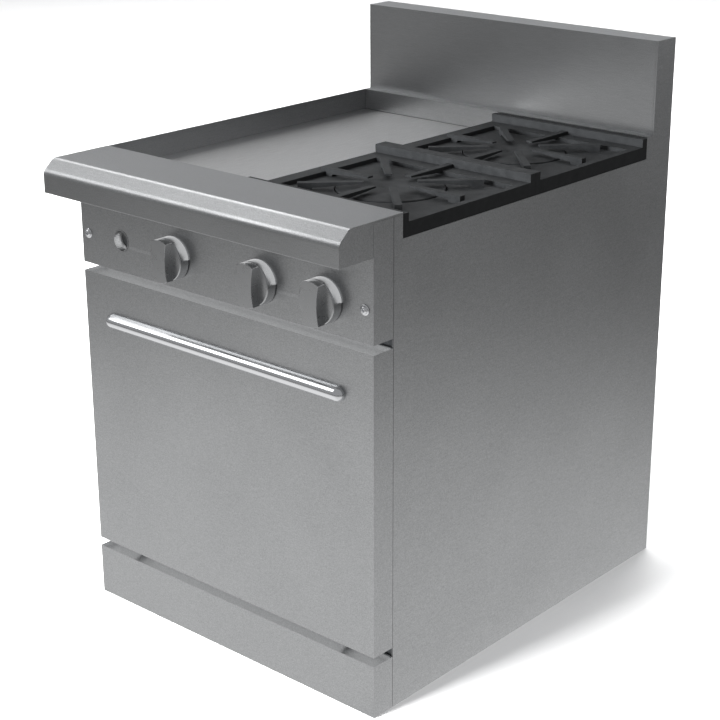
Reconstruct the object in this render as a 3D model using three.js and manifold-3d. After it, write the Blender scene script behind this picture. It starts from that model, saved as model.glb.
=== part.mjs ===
// A 24 inch commercial gas range: griddle on the left, two open burners on the right,
// an oven with a drop-down door below, and a low backguard behind.
//
// Millimetres, +Z up, +X to the right of a person facing the range, +Y to the wall.
// Inside this file y = 0 is the front face of the control panel, door and kick panel.
// The exported group is shifted so that its origin is the middle of the footprint, on the floor.
import * as THREE from 'three';
import { mergeVertices } from 'three/addons/utils/BufferGeometryUtils.js';
import Module from 'manifold-3d';

const wasm = await Module();
wasm.setup();

// ---------------------------------------------------------------- driving dimensions
const WIDTH = 609.6; // 24 in
const HEIGHT = 912;
const HALF = WIDTH / 2;
const BACK = 740; // rear of the cabinet, from the front face
const NOSE = 68.5; // how far the ledge stands out in front of the panel
const FRONT_DEPTH = 41.3; // depth of control panel, door and kick panel
const GAP = 0.3; // clearance between sheet pieces that meet
const SHEET = 2;
const SIDE_SHEET = 3;
const IN = HALF - SIDE_SHEET - GAP; // half width between the side panels

const LEDGE_TOP = 760.5;
const LEDGE_REAR = 60.6;
const LIP_BOTTOM = 708.8;
const BODY_TOP = LEDGE_TOP - 2.8; // top of what stands under the ledge sheet
const FRAME_TOP = 757.5; // top of the front frame and the rear panel
const COOKTOP = 723.7; // griddle surface, and the level the grates stand on
const GUARD_FRONT = 688;
const SPLASH_FRONT = 671; // lower rear wall, a step in front of the backguard
const SHELF = 760; // level of that step
const PANEL_BOTTOM = 584.1;
const DOOR_TOP = 570.1;
const DOOR_BOTTOM = 100.3;
const KICK_TOP = 85.4;
const SIDE_FRONT = 42; // front edge of the side panels, behind the front trays
const FRAME_FRONT = 44.3;
const FRAME_BACK = 47.3;

const KNOBS = { griddle: -92.6, burner_rear: 88.1, burner_front: 214.4 };
const KNOB_Z = 631.9;
const KNOB_R = 33.5;
const STEM_R = 4;
const STEM_TURN = 0.15; // clearance round a turning stem or pin
const VALVE = { front: 8, back: 58, low: 618.4, high: 646, half: 11 };
const DIAL = { x: -212.4, z: 634.7, r: 15.8 };
const SCREW = { x: 289.3, z: 633, hole: 2.7 };

const GRATE = 304.05; // square cast top grate, 12 in less clearance
const GRATE_X0 = 0.3; // left edge: the griddle ends just left of the middle
const GRATE_FRONTS = { front: 60.9, rear: 365.25 };
const BURNER_X = 152.4;
const CAP_R = 82;
const BURNER_BOX = { front: 61, back: 670.5, floor: 609 };

const OVEN = { half: 245, floor: 147.7, roof: 532.3, front: 47.6, back: 640 };
const RACK = { half: 236, front: 100, rear: 630, z: 323.8 };
const PULL = { z: 498.3, depth: 20, halfHeight: 12, reach: 251.6 };
const MANIFOLD = { y: 45, z: 604.5, r: 13.4 };
const INLET = { x: 262, z: 598, r: 9 };
const HINGE = { y: 15, z: 104, x: 230, pin: 2.5 };

// ---------------------------------------------------------------- materials
function paint(color, roughness, metalness) {
  return new THREE.MeshStandardMaterial({ color, roughness, metalness });
}

const STAINLESS = [0xb4b6b8, 0.34, 1];
const GALVANISED = [0x9ea2a4, 0.5, 0.9];
const CAST = [0x3a3c3f, 0.75, 0.4];
const CHROME = [0xd8dadc, 0.1, 1];
const BRASS = [0xb08d4a, 0.4, 1];
const ENAMEL = [0x23262b, 0.3, 0.1];
const STEEL = [0x8b8e90, 0.45, 1];
const WOOL = [0xd9cf9e, 0.95, 0];
const GASKET = [0x5a5650, 0.9, 0];

// ---------------------------------------------------------------- shape helpers
function solid(geometry) {
  const bare = geometry.clone();
  for (const name of Object.keys(bare.attributes)) {
    if (name !== 'position') bare.deleteAttribute(name);
  }
  const merged = mergeVertices(bare, 1e-4);
  return new wasm.Manifold(new wasm.Mesh({
    numProp: 3,
    vertProperties: new Float32Array(merged.attributes.position.array),
    triVerts: new Uint32Array(merged.index.array),
  }));
}

const range = new THREE.Group();
range.position.y = (NOSE - BACK) / 2;

function piece(name, body, finish) {
  const mesh = body.getMesh();
  const geometry = new THREE.BufferGeometry();
  geometry.setAttribute('position', new THREE.BufferAttribute(new Float32Array(mesh.vertProperties), 3));
  geometry.setIndex(new THREE.BufferAttribute(new Uint32Array(mesh.triVerts), 1));
  geometry.computeVertexNormals();
  const node = new THREE.Mesh(geometry, paint(...finish));
  node.name = name;
  range.add(node);
}

function box(x0, x1, y0, y1, z0, z1) {
  const geometry = new THREE.BoxGeometry(x1 - x0, y1 - y0, z1 - z0);
  geometry.translate((x0 + x1) / 2, (y0 + y1) / 2, (z0 + z1) / 2);
  return solid(geometry);
}

function outline(points) {
  return new THREE.Shape(points.map(([a, b]) => new THREE.Vector2(a, b)));
}

// A prism along X from an outline in (y, z).
function prismX(points, x0, x1) {
  const geometry = new THREE.ExtrudeGeometry(outline(points), { depth: x1 - x0, bevelEnabled: false });
  geometry.applyMatrix4(new THREE.Matrix4().makeBasis(
    new THREE.Vector3(0, 1, 0), new THREE.Vector3(0, 0, 1), new THREE.Vector3(1, 0, 0)));
  geometry.translate(x0, 0, 0);
  return solid(geometry);
}

function rodY(x, z, r, y0, y1, sides = 24) {
  const geometry = new THREE.CylinderGeometry(r, r, y1 - y0, sides);
  geometry.translate(x, (y0 + y1) / 2, z);
  return solid(geometry);
}

function rodX(y, z, r, x0, x1, sides = 24) {
  const geometry = new THREE.CylinderGeometry(r, r, x1 - x0, sides);
  geometry.rotateZ(Math.PI / 2);
  geometry.translate((x0 + x1) / 2, y, z);
  return solid(geometry);
}

function rodZ(x, y, r, z0, z1, sides = 24) {
  const geometry = new THREE.CylinderGeometry(r, r, z1 - z0, sides);
  geometry.rotateX(Math.PI / 2);
  geometry.translate(x, y, (z0 + z1) / 2);
  return solid(geometry);
}

// A turned solid from a closed profile of (radius, height), about a vertical axis.
function turned(points, sides = 48) {
  const profile = points.map(([r, h]) => new THREE.Vector2(r, h));
  const geometry = new THREE.LatheGeometry(profile, sides);
  geometry.rotateX(Math.PI / 2);
  return solid(geometry);
}

// A pipe through a list of points.
function pipe(points, r, steps, arc = 5) {
  const circle = new THREE.Shape().absarc(0, 0, r, 0, 2 * Math.PI);
  const path = new THREE.CatmullRomCurve3(points.map((p) => new THREE.Vector3(...p)), false, 'centripetal');
  const geometry = new THREE.ExtrudeGeometry(circle, {
    steps, extrudePath: path, bevelEnabled: false, curveSegments: arc,
  });
  return solid(geometry);
}

// Replaces a corner of a path with an arc of radius r.
function roundCorner(before, corner, after, r, steps = 4) {
  const at = new THREE.Vector2(...corner);
  const u = new THREE.Vector2(...before).sub(at).normalize();
  const v = new THREE.Vector2(...after).sub(at).normalize();
  const half = Math.acos(u.dot(v)) / 2;
  const centre = at.clone().add(u.clone().add(v).normalize().multiplyScalar(r / Math.sin(half)));
  const start = at.clone().add(u.multiplyScalar(r / Math.tan(half))).sub(centre);
  const end = at.clone().add(v.multiplyScalar(r / Math.tan(half))).sub(centre);
  const sweep = Math.atan2(start.cross(end), start.dot(end));
  return Array.from({ length: steps + 1 }, (_, i) => {
    const p = start.clone().rotateAround(new THREE.Vector2(), (sweep * i) / steps).add(centre);
    return [p.x, p.y];
  });
}

// The section of a folded sheet: an outer path and the same path moved inwards by its thickness.
function foldedSheet(path, thickness) {
  const inner = path.map((p, i) => {
    const a = new THREE.Vector2(...(path[i - 1] ?? p));
    const b = new THREE.Vector2(...p);
    const c = new THREE.Vector2(...(path[i + 1] ?? p));
    const u = b.clone().sub(a).normalize();
    const v = c.clone().sub(b).normalize();
    if (i === 0) u.copy(v);
    if (i === path.length - 1) v.copy(u);
    const n = new THREE.Vector2(-u.y - v.y, u.x + v.x).normalize();
    const stretch = 1 / (n.x * -u.y + n.y * u.x);
    return [b.x + n.x * thickness * stretch, b.y + n.y * thickness * stretch];
  });
  return [...path, ...inner.reverse()];
}

// A tray of folded sheet, open to the rear.
function frontTray(z0, z1) {
  return box(-HALF, HALF, 0, FRONT_DEPTH, z0, z1)
    .subtract(box(-HALF + SHEET, HALF - SHEET, SHEET, BACK, z0 + SHEET, z1 - SHEET));
}

// ---------------------------------------------------------------- cabinet
function sidePanels() {
  const rearEdge = [[BACK, 0], [BACK, HEIGHT], [GUARD_FRONT, HEIGHT], [GUARD_FRONT, SHELF]];
  const frontEdge = [[SIDE_FRONT, BODY_TOP], [SIDE_FRONT, 0]];
  const wall = LEDGE_REAR + GAP;
  const notch = 669.9; // the right panel drops to the grates from here forward
  const left = [...rearEdge, [wall, SHELF], [wall, BODY_TOP], ...frontEdge];
  const right = [...rearEdge, [notch, SHELF], [notch, COOKTOP - GAP], [LEDGE_REAR, COOKTOP - GAP],
    [LEDGE_REAR, BODY_TOP], ...frontEdge];
  piece('side_panel_left', prismX(left, -HALF, -HALF + SIDE_SHEET), STAINLESS);
  piece('side_panel_right', prismX(right, HALF - SIDE_SHEET, HALF), STAINLESS);
}

function basePan() {
  piece('base_pan', box(-IN, IN, FRAME_FRONT, BACK, 0, SIDE_SHEET), GALVANISED);
}

function rearPanel() {
  const slotHalf = 26;
  const pipeHole = 12;
  const through = [BACK - 10, BACK + 1];
  const airSlot = (x) => box(x - slotHalf, x + slotHalf, ...through, 60, 72);
  const slots = [-180, -108, -36, 36, 108, 180].map(airSlot);
  const sheet = box(-IN, IN, BACK - SIDE_SHEET, BACK, SIDE_SHEET + GAP, FRAME_TOP)
    .subtract(wasm.Manifold.union(slots))
    .subtract(rodY(INLET.x, INLET.z, pipeHole, ...through));
  piece('rear_panel', sheet, GALVANISED);
}

function backguard() {
  const path = [[BACK, FRAME_TOP + 0.5], [BACK, HEIGHT], [GUARD_FRONT, HEIGHT], [GUARD_FRONT, SHELF],
    [SPLASH_FRONT, SHELF], [SPLASH_FRONT, COOKTOP + 0.6]];
  const slotHalf = 24;
  const flueSlot = (x) => box(x - slotHalf, x + slotHalf, BACK - 8, BACK + 1, 878, 896);
  const slots = [-60, 0, 60].map(flueSlot);
  const sheet = prismX(foldedSheet(path, SHEET), -IN, IN).subtract(wasm.Manifold.union(slots));
  piece('backguard', sheet, STAINLESS);
}

function frontFrame() {
  const plate = box(-IN, IN, FRAME_FRONT, FRAME_BACK, SIDE_SHEET + GAP, FRAME_TOP);
  const through = [FRAME_FRONT - 4, FRAME_BACK + 3];
  const lap = 2.3; // how far the frame laps over the oven floor and roof
  const ovenMouth = box(-OVEN.half, OVEN.half, ...through, OVEN.floor + lap, OVEN.roof - lap);
  const controlHalf = 280;
  const controlSpace = box(-controlHalf, controlHalf, ...through, 588, 745);
  piece('front_frame', plate.subtract(ovenMouth).subtract(controlSpace), GALVANISED);
}

function bullnoseLedge() {
  const top = [LEDGE_REAR, LEDGE_TOP];
  const upper = [-47.5, LEDGE_TOP];
  const lower = [-NOSE, LEDGE_TOP - 18];
  const lip = [-NOSE, LIP_BOTTOM];
  const soffit = [-GAP, LIP_BOTTOM];
  const bend = 9;
  const thick = 2.5;
  const bends = [...roundCorner(top, upper, lower, bend), ...roundCorner(upper, lower, lip, bend)];
  const nose = [...bends, lip, soffit];
  const shell = prismX(foldedSheet([top, ...nose], thick), -HALF, HALF);
  const cap = [[-GAP, LEDGE_TOP], ...nose];
  const leftCap = prismX(cap, -HALF, -HALF + thick);
  const rightCap = prismX(cap, HALF - thick, HALF);
  piece('bullnose_ledge', shell.add(leftCap).add(rightCap), STAINLESS);
}

function controlPanel() {
  const stemHole = STEM_R + 2;
  const collarHole = DIAL.r + 1.7;
  const drill = (x, z, r, sides) => rodY(x, z, r, -1, 5, sides);
  let tray = frontTray(PANEL_BOTTOM, BODY_TOP);
  for (const x of Object.values(KNOBS)) tray = tray.subtract(drill(x, KNOB_Z, stemHole));
  tray = tray.subtract(drill(DIAL.x, DIAL.z, collarHole, 32));
  for (const side of [-1, 1]) tray = tray.subtract(drill(side * SCREW.x, SCREW.z, SCREW.hole));
  piece('control_panel', tray, STAINLESS);
}

function panelFittings() {
  const shank = [[0, -12], [2.4, -12], [2.4, 0.15]];
  const washerHead = [[8, 0.15], [7.6, 1.8], [5.6, 3.3], [2.8, 4.1], [0, 4.3]];
  for (const [name, side] of [['left', -1], ['right', 1]]) {
    const screw = turned([...shank, ...washerHead], 24)
      .rotate([90, 0, 0])
      .translate([side * SCREW.x, 0, SCREW.z]);
    piece(`panel_screw_${name}`, screw, CHROME);
  }
  piece('legend_strip_left', box(-193.2, -127.5, -0.9, -0.1, 624.3, 629.3), STEEL);
  piece('legend_strip_right', box(123, 179.4, -0.9, -0.1, 622.2, 627.2), STEEL);
}

function kickPanel() {
  piece('kick_panel', frontTray(0, KICK_TOP), STAINLESS);
}

// ---------------------------------------------------------------- gas controls
function knob(name, x) {
  const front = -30.5;
  const seat = -18.2;
  const waist = 12.7; // half width of the grip bar at its middle
  const hollow = 132.6; // radius of the finger scallops that leave the grip bar
  const socket = STEM_R + 0.2;
  const scallop = (side) => rodY(x + side * (waist + hollow), KNOB_Z, hollow, front - 1, seat, 120);
  const body = rodY(x, KNOB_Z, KNOB_R, front, -0.6, 48)
    .subtract(scallop(1))
    .subtract(scallop(-1))
    .subtract(rodY(x, KNOB_Z, socket, -14, 0));
  piece(`knob_${name}`, body, CHROME);
  piece(`valve_stem_${name}`, rodY(x, KNOB_Z, STEM_R, -13.6, 32), STEEL);
  const jet = rodY(x, KNOB_Z, 5, VALVE.back - 1, 76);
  const valve = box(x - VALVE.half, x + VALVE.half, VALVE.front, VALVE.back, VALVE.low, VALVE.high)
    .add(jet)
    .subtract(rodY(x, KNOB_Z, STEM_R + STEM_TURN, VALVE.front - 1, 34));
  piece(`valve_${name}`, valve, BRASS);
}

function ovenThermostat() {
  const { x, z, r } = DIAL;
  const collar = rodY(x, z, r + 1.4, -0.6, 26, 32)
    .subtract(rodY(x, z, r, -2, 24, 32))
    .subtract(rodY(x, z, 6, 20, 30));
  piece('thermostat_collar', collar, CHROME);
  const driverSlot = box(x - 1, x + 1, 16, 19, z - 10, z + 10);
  const dial = rodY(x, z, r - 0.4, 17, 23, 32).add(rodY(x, z, STEM_R, 22, 44)).subtract(driverSlot);
  piece('thermostat_dial', dial, STEEL);
  const half = 26;
  const body = box(x - half, x + half, 27, VALVE.back, 618.5, 662)
    .subtract(rodY(x, z, STEM_R + STEM_TURN, 26, 46));
  piece('thermostat_body', body, GALVANISED);
}

function gasSupply() {
  const { x, z } = INLET;
  const end = 240;
  piece('gas_manifold', rodX(MANIFOLD.y, MANIFOLD.z, MANIFOLD.r, -250, end), STEEL);
  const start = [[end + 2, MANIFOLD.y, MANIFOLD.z], [250, MANIFOLD.y, MANIFOLD.z]];
  const elbow = [...start, [259, 49, 602.5], [x, 59, 600]];
  const run = [[x, 75, z], [x, 110, z], [x, BACK - 0.5, z]];
  piece('gas_inlet_pipe', pipe([...elbow, ...run], INLET.r, 24), STEEL);
}

// ---------------------------------------------------------------- cooktop
// An open-topped box under the cooktop: one bay for the griddle burner, two for the open burners.
function burnerBox() {
  const { front, back, floor } = BURNER_BOX;
  const top = COOKTOP - 0.1;
  const underPlate = 710.8;
  const underTroughRim = 720.6;
  const baffleFoot = 700;
  const baffle = 365; // between the front and rear burner bays
  const [wallLeft, wallRight] = [-1, 3]; // the wall between the griddle bay and the burner bays
  const mixerHole = 17;
  const bay = (x0, x1, y0, y1) => box(x0, x1, y0, y1, floor + SHEET, top + 1);
  let pan = box(-IN, IN, front, back, floor, top)
    .subtract(bay(-IN + SHEET, wallLeft, front + SHEET, back - SHEET))
    .subtract(bay(wallRight, IN - SHEET, front + SHEET, baffle - 1))
    .subtract(bay(wallRight, IN - SHEET, baffle + 1, back - SHEET))
    .subtract(box(wallRight, IN - SHEET, baffle - 5, baffle + 5, floor + SHEET, baffleFoot))
    .subtract(box(-IN - 1, 1, front + SHEET, back + 1, underPlate, top + 1))
    .subtract(box(-IN - 1, 1, front - 1, front + SHEET, underTroughRim, top + 1));
  for (const x of Object.values(KNOBS)) pan = pan.subtract(rodY(x, KNOB_Z, mixerHole, front - 1, front + 3));
  piece('burner_box', pan, GALVANISED);
}

function griddle() {
  const plateThick = 12.7; // half an inch
  piece('griddle_plate', box(-IN, -1.3, 112, BURNER_BOX.back, COOKTOP - plateThick, COOKTOP), STEEL);
  const [left, right, low, high] = [-299.2, -1.4, 692, 722];
  const trough = box(left, right, 64, 111, low, high)
    .subtract(box(left + SHEET, right - SHEET, 66, 109, low + SHEET, high + 1))
    .add(box(left, right, 61, 65, high - 1.1, high));
  piece('grease_trough', trough, STAINLESS);
  const inlet = KNOBS.griddle;
  const outer = -215;
  const flame = 662; // level of the straight runs under the plate
  const rise = [[inlet, 80, KNOB_Z], [inlet, 130, 640], [inlet, 190, flame]];
  const turnBack = [[inlet, 540, flame], [-120, 596, flame], [-190, 596, flame], [outer, 540, flame]];
  piece('griddle_burner', pipe([...rise, ...turnBack, [outer, 160, flame]], 13, 36), STEEL);
}

// One finger of a grate, drawn along +X from the burner centre: a foot, and an arm that thins to its tip.
function finger(end, foot) {
  const top = 750.2;
  const tip = 40;
  const floor = 737.8;
  const profile = new THREE.Shape([
    new THREE.Vector2(tip, top - 2.6),
    new THREE.Vector2(tip, top),
    new THREE.Vector2(end, top),
    new THREE.Vector2(end, floor),
    new THREE.Vector2(foot, floor),
    new THREE.Vector2(foot - 2, top - 8),
  ]);
  const width = 11;
  const geometry = new THREE.ExtrudeGeometry(profile, { depth: width, bevelEnabled: false });
  geometry.rotateX(Math.PI / 2);
  geometry.translate(0, width / 2, 0);
  return solid(geometry);
}

function grate(name, y0) {
  const x0 = GRATE_X0;
  const x1 = x0 + GRATE + 0.45;
  const y1 = y0 + GRATE;
  const centre = [BURNER_X, (y0 + y1) / 2, 0];
  const border = 745;
  const bowl = 738.3;
  const ridgeTop = 758;
  const ridge = 12;
  const wall = 14;
  const plate = box(x0, x1, y0, y1, COOKTOP + 0.2, border)
    .subtract(box(26.2, 293.2, y0 + 40, y1 - 40, bowl, border + 1))
    .subtract(box(x0 + wall, x1 - wall, y0 + wall, y1 - wall, COOKTOP - 1, bowl - 5))
    .subtract(rodZ(centre[0], centre[1], CAP_R + 2, COOKTOP, border + 1, 40));
  const ridges = box(x0, x1, y0, y0 + ridge, border - 1, ridgeTop)
    .add(box(x0, x1, y1 - ridge, y1, border - 1, ridgeTop));
  const sides = [0, 180].map((turn) => finger(134.5, 114).rotate([0, 0, turn]));
  const ends = [90, 270].map((turn) => finger(140.8, 118).rotate([0, 0, turn]));
  const corners = [45, 135, 225, 315].map((turn) => finger(138, 118).rotate([0, 0, turn]));
  const fingers = wasm.Manifold.union([...sides, ...ends, ...corners]).translate(centre);
  piece(`grate_${name}`, plate.add(ridges).add(fingers), CAST);
}

function burner(name, y, feed) {
  const underside = 734;
  const capTop = 741;
  const neck = [[0, 722], [34, 722], [34, underside]];
  const disc = [[CAP_R, underside], [CAP_R, capTop - 1.4], [CAP_R - 1.5, capTop], [0, capTop]];
  piece(`burner_cap_${name}`, turned([...neck, ...disc], 40).translate([BURNER_X, y, 0]), CAST);
  const bowlOutside = [[0, 614], [46, 614], [46, 690], [76, 722], [76, 733.6]];
  const bowlInside = [[70, 733.6], [70, 726], [38, 696], [38, 622], [0, 622]];
  const bowl = turned([...bowlOutside, ...bowlInside], 32).translate([BURNER_X, y, 0]);
  const venturi = pipe(feed, 13, 16);
  const duct = rodZ(BURNER_X, y, 37.5, 623, 690);
  piece(`burner_body_${name}`, bowl.add(venturi.subtract(duct)), CAST);
}

function burners() {
  const centre = (front) => front + GRATE / 2;
  const front = centre(GRATE_FRONTS.front);
  const rear = centre(GRATE_FRONTS.rear);
  const xf = KNOBS.burner_front;
  const xr = KNOBS.burner_rear;
  const level = ([x, y]) => [x, y, KNOB_Z];
  burner('front', front, [[xf, 80], [xf, 120], [200, 160], [172, front - 18]].map(level));
  burner('rear', rear, [[xr, 80], [xr, 220], [xr, 400], [102, 462], [132, rear - 18]].map(level));
}

// ---------------------------------------------------------------- oven
function ovenLiner() {
  const { half, floor, roof, front, back } = OVEN;
  piece('oven_wall_left', box(-half - SHEET, -half, front, back, floor + GAP, roof - GAP), ENAMEL);
  piece('oven_wall_right', box(half, half + SHEET, front, back, floor + GAP, roof - GAP), ENAMEL);
  piece('oven_floor', box(-half - SHEET, half + SHEET, front, back, floor - SHEET, floor), ENAMEL);
  piece('oven_roof', box(-half - SHEET, half + SHEET, front, back, roof, roof + SHEET), ENAMEL);
  const rear = box(-half - SHEET, half + SHEET, back + GAP, back + GAP + SHEET, floor - SHEET, roof + SHEET)
    .subtract(box(-100, 100, back - 2, back + 5, 496, 518)); // the way out to the flue
  piece('oven_back', rear, ENAMEL);
}

function ovenInsulation() {
  const out = OVEN.half + SHEET + GAP;
  const front = FRAME_BACK + GAP;
  const side = [front, 700, 120, 560];
  piece('insulation_left', box(-IN, -out, ...side), WOOL);
  piece('insulation_right', box(out, IN, ...side), WOOL);
  piece('insulation_top', box(-out + 1, out - 1, front, OVEN.back, OVEN.roof + SHEET + GAP, 578), WOOL);
}

function flue() {
  const half = 110;
  const [front, turn, back] = [642.7, 692, 734];
  const [low, roof, top] = [488, 526, 870];
  const duct = (inset, past) => {
    const wide = [-half + inset, half - inset];
    return box(...wide, front - past, back - inset, low + inset, roof - inset)
      .add(box(...wide, turn + inset, back - inset, low + inset, top + past));
  };
  piece('flue_riser', duct(0, 0).subtract(duct(1.5, 5)), GALVANISED);
}

function rackGuides() {
  for (const [name, side] of [['left', -1], ['right', 1]]) {
    const face = OVEN.half - GAP;
    const run = [80, RACK.rear];
    const span = (a, b, z0, z1) => (side > 0 ? box(a, b, ...run, z0, z1) : box(-b, -a, ...run, z0, z1));
    let guide = span(face - 1.5, face, 170, 500);
    for (const z of [230, 320, 410]) guide = guide.add(span(face - 16, face - 1, z - SHEET, z));
    piece(`rack_guide_${name}`, guide, CHROME);
  }
}

function ovenRack() {
  const { half, front, rear, z } = RACK;
  const rim = 3.5;
  const wires = [rodX((front + rear) / 2, z - 1, 2.6, -half + rim, half - rim, 8)];
  for (const y of [front + rim, rear - rim]) wires.push(rodX(y, z, rim, -half, half, 10));
  for (const x of [-half + rim, half - rim]) wires.push(rodY(x, z, rim, front + rim, rear - rim, 10));
  const count = 13;
  for (let i = 1; i < count; i += 1) {
    const x = -half + (2 * half * i) / count;
    wires.push(rodY(x, z + 1.5, 1.9, front + rim, rear - rim, 8));
  }
  piece('oven_rack', wasm.Manifold.union(wires), CHROME);
}

function ovenBurner() {
  const z = 100;
  const mixer = rodY(0, z, 11, 55, 95);
  const bore = rodY(0, z, 9, 50, 90);
  const tube = rodY(0, z, 18, 90, 560).add(mixer).subtract(bore);
  piece('oven_burner', tube, CAST);
}

function ovenGasket() {
  const [half, low, high] = [262, 133, 547];
  const rope = 12;
  const mouth = box(-half + rope, half - rope, 41, 45, low + rope, high - rope);
  const ring = box(-half, half, 42, 44, low, high).subtract(mouth);
  piece('oven_gasket', ring, GASKET);
}

// ---------------------------------------------------------------- oven door
function doorShell() {
  // The pressed pocket behind the pull, where the fingers go.
  const half = 236;
  const pocket = (front, grow) => box(-half - grow, half + grow, front, 12 + grow, 488 - grow, 507 + grow);
  let shell = frontTray(DOOR_BOTTOM, DOOR_TOP).add(pocket(0.5, SHEET)).subtract(pocket(-1, 0));
  for (const side of [-1, 1]) {
    const x = side * HINGE.x;
    const lug = (a) => box(x + a - 4, x + a + 4, 8, 22, DOOR_BOTTOM + 1, 112);
    shell = shell.add(lug(-9.5)).add(lug(9.5));
    shell = shell.subtract(box(x - 5.5, x + 5.5, SHEET, 34, DOOR_BOTTOM - 1, 113));
    shell = shell.subtract(rodX(HINGE.y, HINGE.z, HINGE.pin + STEM_TURN, x - 15, x + 15));
  }
  piece('door_shell', shell, STAINLESS);
}

function doorInside() {
  const inset = SHEET + GAP;
  const liner = box(-HALF + inset, HALF - inset, 39, FRONT_DEPTH, DOOR_BOTTOM + inset, DOOR_TOP - inset);
  piece('door_liner', liner, ENAMEL);
  const pocketSpace = box(-240, 240, 1, 15, 484, 511);
  const wool = box(-298, 298, 2.4, 38.7, 125, 560).subtract(pocketSpace);
  piece('door_insulation', wool, WOOL);
}

function doorHandle() {
  const { z, depth, halfHeight, reach } = PULL;
  const hood = (shrink) => {
    const geometry = new THREE.CapsuleGeometry(depth - shrink, 2 * (reach - depth), 5, 24, 1);
    geometry.rotateZ(Math.PI / 2);
    geometry.scale(1, 1, (halfHeight - shrink) / (depth - shrink));
    geometry.translate(0, 0, z);
    return solid(geometry);
  };
  const fingers = box(-reach + depth, reach - depth, -13, 5, z - 20, z - 3);
  const shell = hood(0)
    .subtract(hood(SHEET))
    .subtract(box(-HALF, HALF, -GAP, 40, z - 30, z + 30))
    .subtract(fingers);
  piece('door_handle', shell, CHROME);
}

function doorHinges() {
  const { y, z, x, pin } = HINGE;
  for (const [name, side] of [['left', -1], ['right', 1]]) {
    const at = side * x;
    piece(`hinge_pin_${name}`, rodX(y, z, pin, at - 13, at + 13), STEEL);
    const half = 3;
    const wall = 44; // where the foot is welded on
    const nose = rodX(y, z, 8.5, at - half, at + half, 32);
    const armLine = [[8, 97], [15, 95.3], [30, 90], [wall, 90], [wall, 99], [26, 99], [22, z], [12, z]];
    const arm = prismX(armLine, at - half, at + half);
    const foot = box(at - 16, at + 16, wall - 2, wall, 88, 99);
    const bracket = nose.add(arm).add(foot).subtract(rodX(y, z, pin + STEM_TURN, at - 5, at + 5));
    piece(`hinge_bracket_${name}`, bracket, STEEL);
  }
}

// ---------------------------------------------------------------- assembly
sidePanels();
basePan();
rearPanel();
backguard();
frontFrame();
bullnoseLedge();
controlPanel();
panelFittings();
kickPanel();
for (const [name, x] of Object.entries(KNOBS)) knob(name, x);
ovenThermostat();
gasSupply();
burnerBox();
griddle();
for (const [name, y0] of Object.entries(GRATE_FRONTS)) grate(name, y0);
burners();
ovenLiner();
ovenInsulation();
flue();
rackGuides();
ovenRack();
ovenBurner();
ovenGasket();
doorShell();
doorInside();
doorHandle();
doorHinges();

export default range;
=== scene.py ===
import math

import bmesh
import bpy
from mathutils import Matrix, Vector


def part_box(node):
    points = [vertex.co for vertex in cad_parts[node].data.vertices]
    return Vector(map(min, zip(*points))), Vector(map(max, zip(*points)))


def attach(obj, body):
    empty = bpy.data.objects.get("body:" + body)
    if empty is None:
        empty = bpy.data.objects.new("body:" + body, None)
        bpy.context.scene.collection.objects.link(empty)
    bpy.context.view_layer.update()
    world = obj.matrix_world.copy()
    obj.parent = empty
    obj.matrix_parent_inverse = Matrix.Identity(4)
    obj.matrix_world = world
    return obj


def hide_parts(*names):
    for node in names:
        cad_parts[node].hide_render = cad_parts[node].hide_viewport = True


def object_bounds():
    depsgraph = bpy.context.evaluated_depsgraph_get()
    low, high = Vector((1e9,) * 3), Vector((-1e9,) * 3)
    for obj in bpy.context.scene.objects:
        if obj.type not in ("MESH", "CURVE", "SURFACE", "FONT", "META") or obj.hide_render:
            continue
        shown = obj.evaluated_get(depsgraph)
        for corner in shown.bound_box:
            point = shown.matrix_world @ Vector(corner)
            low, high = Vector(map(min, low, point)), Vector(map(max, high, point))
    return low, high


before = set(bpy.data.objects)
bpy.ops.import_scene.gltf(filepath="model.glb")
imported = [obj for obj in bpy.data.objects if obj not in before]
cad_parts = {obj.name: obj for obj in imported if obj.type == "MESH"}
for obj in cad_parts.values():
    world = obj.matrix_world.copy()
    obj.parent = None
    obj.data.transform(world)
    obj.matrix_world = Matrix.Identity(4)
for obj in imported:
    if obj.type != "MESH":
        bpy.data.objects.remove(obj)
cad_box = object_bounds()
MM = 0.001


# ------------------------------------------------------------------ camera and room
# A long lens stands off the right front corner, above the cooktop. The room is a pale floor in a
# pale grey studio, lit by strip lights on an arch to the left and by soft lights overhead, in front
# and behind.
def linear(colour):
    """An sRGB hex colour as a linear RGBA value."""
    channels = [int(colour[i : i + 2], 16) / 255 for i in (1, 3, 5)]
    bright = [c / 12.92 if c <= 0.04045 else ((c + 0.055) / 1.055) ** 2.4 for c in channels]
    return (*bright, 1.0)


def add(tree, kind, inputs=None, **settings):
    """Adds a shader node, sets it up, and links or sets its inputs."""
    made = tree.nodes.new("ShaderNode" + kind)
    for name, value in settings.items():
        setattr(made, name, value)
    for name, value in (inputs or {}).items():
        if isinstance(value, bpy.types.NodeSocket):
            tree.links.new(value, made.inputs[name])
        else:
            made.inputs[name].default_value = value
    return made


def new_material(name, roughness, metallic=0.0):
    """A named material with the values that are the same all over it."""
    made = bpy.data.materials.new(name)
    made.use_nodes = True
    shader = made.node_tree.nodes["Principled BSDF"]
    shader.inputs["Roughness"].default_value = roughness
    shader.inputs["Metallic"].default_value = metallic
    return made, made.node_tree, shader


camera = bpy.data.objects.new("camera", bpy.data.cameras.new("camera"))
bpy.context.collection.objects.link(camera)
camera.location = (1.7253, -1.9597, 1.3614)
camera.rotation_euler = Vector((-0.6189, 0.7117, -0.3323)).to_track_quat("-Z", "Y").to_euler()
camera.data.lens = 84.2
camera.data.shift_x = -0.0254
camera.data.shift_y = -0.0354
bpy.context.scene.camera = camera
bpy.context.scene.view_settings.view_transform = "Standard"

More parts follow.
